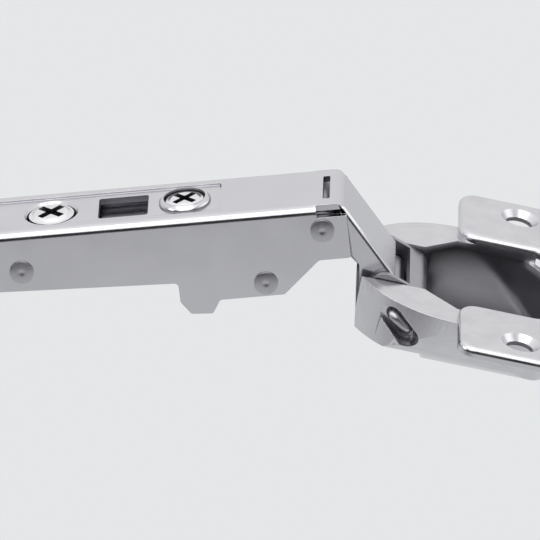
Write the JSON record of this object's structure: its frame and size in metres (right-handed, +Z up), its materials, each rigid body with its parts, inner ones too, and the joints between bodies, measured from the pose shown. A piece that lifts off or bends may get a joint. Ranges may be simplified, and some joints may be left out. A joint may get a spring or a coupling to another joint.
{
  "type": "clip-on cabinet hinge",
  "caption": "Clip-on concealed cabinet hinge with a screw-on 35 mm cup, two folding links, a cranked adjustable arm and a sprung clip adaptor.",
  "frame": {"origin": "centre of the front claw seat, on the hinge's middle plane", "axes": "+X along the arm towards the cup, +Y across the arm, +Z up out of the arm's top"},
  "size_m": [0.1073, 0.056, 0.034],
  "materials": {
    "arm_plate": "nickel-plated pressed steel",
    "cup_plate": "nickel-plated drawn steel",
    "adaptor_zinc": "zinc-plated pressed steel",
    "rivet_steel": "plated turned steel",
    "screw_plate": "bright plated screws",
    "spring_steel": "drawn spring wire"
  },
  "bodies": {
    "adaptor": {"adaptor_rail": "adaptor_zinc", "clip_lever_pin": "rivet_steel", "clip_lever_spring": "spring_steel"},
    "lever": {"clip_lever": "adaptor_zinc"},
    "slide": {"depth_slide": "adaptor_zinc"},
    "depth_screw": {"depth_screw": "screw_plate", "depth_cam_washer": "screw_plate"},
    "side_screw": {"side_screw": "screw_plate"},
    "arm": {"hinge_arm": "arm_plate", "tilt_pin": "rivet_steel", "guide_rivet_near": "rivet_steel", "guide_rivet_far": "rivet_steel", "inner_link_pin": "rivet_steel", "outer_link_pin": "rivet_steel"},
    "inner_link": {"inner_link": "adaptor_zinc"},
    "cup": {"cup_body": "cup_plate", "cup_axle_staple": "rivet_steel", "closing_spring_near": "spring_steel", "closing_spring_far": "spring_steel"},
    "outer_link": {"outer_link": "adaptor_zinc"}
  },
  "joints": [
    {"name": "lever_release", "type": "hinge", "parent": "adaptor", "child": "lever", "pos_m": [-0.0428, 0, 0.005], "axis": [0, 1, 0], "range_deg": [0, 12], "stiffness_Nm_per_rad": 0.05, "springref_deg": -17.19},
    {"name": "depth_adjust", "type": "slide", "parent": "adaptor", "child": "slide", "axis": [1, 0, 0], "range_m": [-0.0015, 0.0015]},
    {"name": "depth_screw_turn", "type": "hinge", "parent": "slide", "child": "depth_screw", "pos_m": [-0.0285, 0, 0.0125], "axis": [0, 0, 1], "range_deg": [-53, 53]},
    {"name": "arm_tilt", "type": "hinge", "parent": "slide", "child": "arm", "pos_m": [-0.0336, 0, 0.0058], "axis": [0, 1, 0], "range_deg": [-1.5, 1.5]},
    {"name": "side_screw_turn", "type": "hinge", "parent": "slide", "child": "side_screw", "pos_m": [-0.0074, 0, 0.0125], "axis": [0, 0, 1], "range_deg": [-340, 340]},
    {"name": "inner_link_turn", "type": "hinge", "parent": "arm", "child": "inner_link", "pos_m": [0.014, 0, 0.00846], "axis": [0, -1, 0], "range_deg": [0, 3.75]},
    {"name": "cup_fold", "type": "hinge", "parent": "inner_link", "child": "cup", "pos_m": [0.02382, 0, -0.00424], "axis": [0, -1, 0], "range_deg": [0, 104.7]},
    {"name": "outer_link_turn", "type": "hinge", "parent": "cup", "child": "outer_link", "pos_m": [0.0258, 0, -0.00712], "axis": [0, -1, 0], "range_deg": [-49.99, 0]}
  ],
  "couplings": [
    {"joint": "depth_screw_turn", "follows": "depth_adjust", "rad_per_m": 606.63},
    {"joint": "side_screw_turn", "follows": "arm_tilt", "ratio": 225},
    {"joint": "inner_link_turn", "follows": "cup_fold", "ratio": 0.035348},
    {"joint": "outer_link_turn", "follows": "cup_fold", "ratio": -0.47699}
  ]
}
